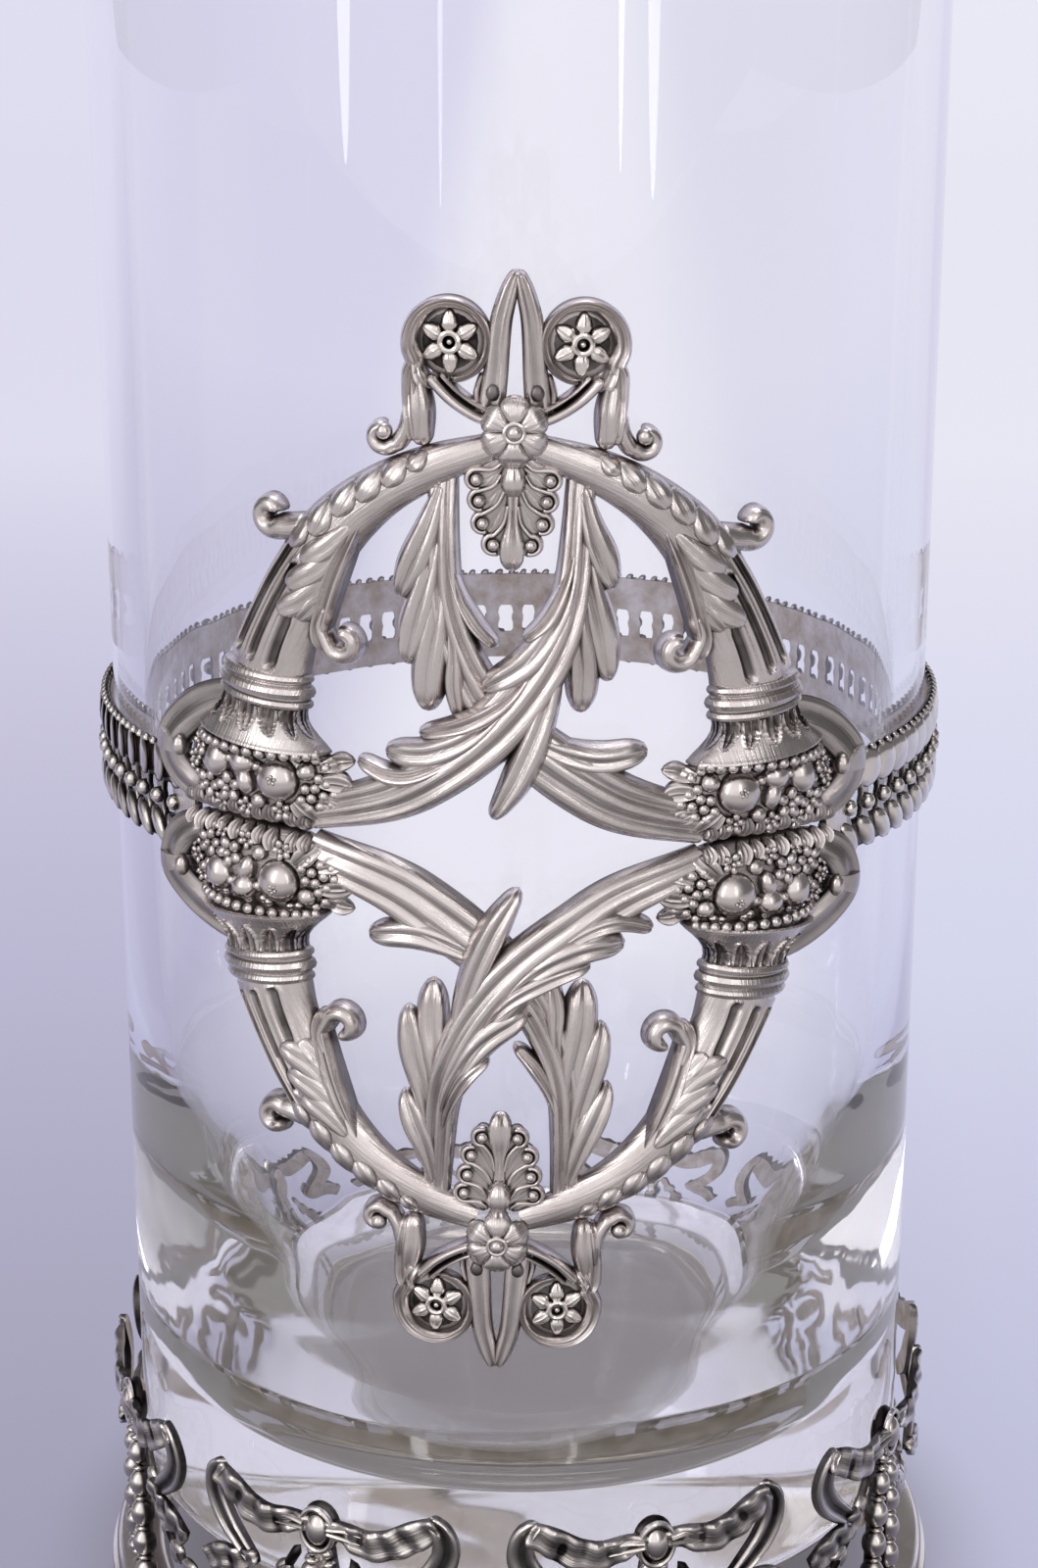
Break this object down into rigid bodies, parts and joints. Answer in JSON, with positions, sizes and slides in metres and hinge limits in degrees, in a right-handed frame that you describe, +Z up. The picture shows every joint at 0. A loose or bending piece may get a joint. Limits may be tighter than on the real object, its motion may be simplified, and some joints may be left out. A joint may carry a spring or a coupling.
{
  "type": "glass vase in a metal holder",
  "caption": "Tall clear glass cylinder clasped by a pierced silver-plated belt with a horn-of-plenty medallion, standing in a ring holder of ribbon bows and husk swags.",
  "frame": {"origin": "middle of the foot ring, on the table", "axes": "+Z up along the axis of the glass, -Y towards the viewer through the medallion, +X to its right"},
  "size_m": [0.132, 0.132, 0.29],
  "materials": {
    "clear_glass": "clear polished glass with a faint lilac cast",
    "silver_plate": "worn silver plate, bright on the relief and dark in the hollows",
    "aged_silver": "aged silver plate with dark hollows",
    "plain_silver": "plain worn silver plate"
  },
  "bodies": {
    "stand": {"stand_foot_ring": "plain_silver", "stand_seat_ring": "plain_silver", "stand_bow_1": "aged_silver", "stand_swag_1": "aged_silver", "stand_bow_2": "aged_silver", "stand_swag_2": "aged_silver", "stand_bow_3": "aged_silver", "stand_swag_3": "aged_silver", "stand_bow_4": "aged_silver", "stand_swag_4": "aged_silver", "stand_bow_5": "aged_silver", "stand_swag_5": "aged_silver", "stand_bow_6": "aged_silver", "stand_swag_6": "aged_silver", "stand_bow_7": "aged_silver", "stand_swag_7": "aged_silver", "stand_bow_8": "aged_silver", "stand_swag_8": "aged_silver"},
    "glass": {"glass_vessel": "clear_glass"},
    "mount": {"belt_strip": "aged_silver", "upper_horn_left": "silver_plate", "upper_horn_right": "silver_plate", "upper_bell_left": "silver_plate", "upper_bell_right": "silver_plate", "upper_fruit_left": "silver_plate", "upper_fruit_right": "silver_plate", "upper_strap_left": "silver_plate", "upper_strap_right": "silver_plate", "upper_rosette_left": "aged_silver", "upper_rosette_right": "aged_silver", "upper_leaf_over": "silver_plate", "upper_leaf_under": "silver_plate", "upper_crest": "silver_plate", "upper_flower": "silver_plate", "upper_palmette": "silver_plate", "lower_horn_left": "silver_plate", "lower_horn_right": "silver_plate", "lower_bell_left": "silver_plate", "lower_bell_right": "silver_plate", "lower_fruit_left": "silver_plate", "lower_fruit_right": "silver_plate", "lower_strap_left": "silver_plate", "lower_strap_right": "silver_plate", "lower_rosette_left": "aged_silver", "lower_rosette_right": "aged_silver", "lower_leaf_over": "silver_plate", "lower_leaf_under": "silver_plate", "lower_crest": "silver_plate", "lower_flower": "silver_plate", "lower_palmette": "silver_plate"}
  },
  "joints": [
    {"name": "glass_lift", "type": "slide", "parent": "stand", "child": "glass", "axis": [0, 0, 1], "range_m": [0, 0.06]},
    {"name": "belt_turn", "type": "hinge", "parent": "glass", "child": "mount", "pos_m": [0, 0, 0.139], "axis": [0, 0, 1], "continuous": true}
  ]
}
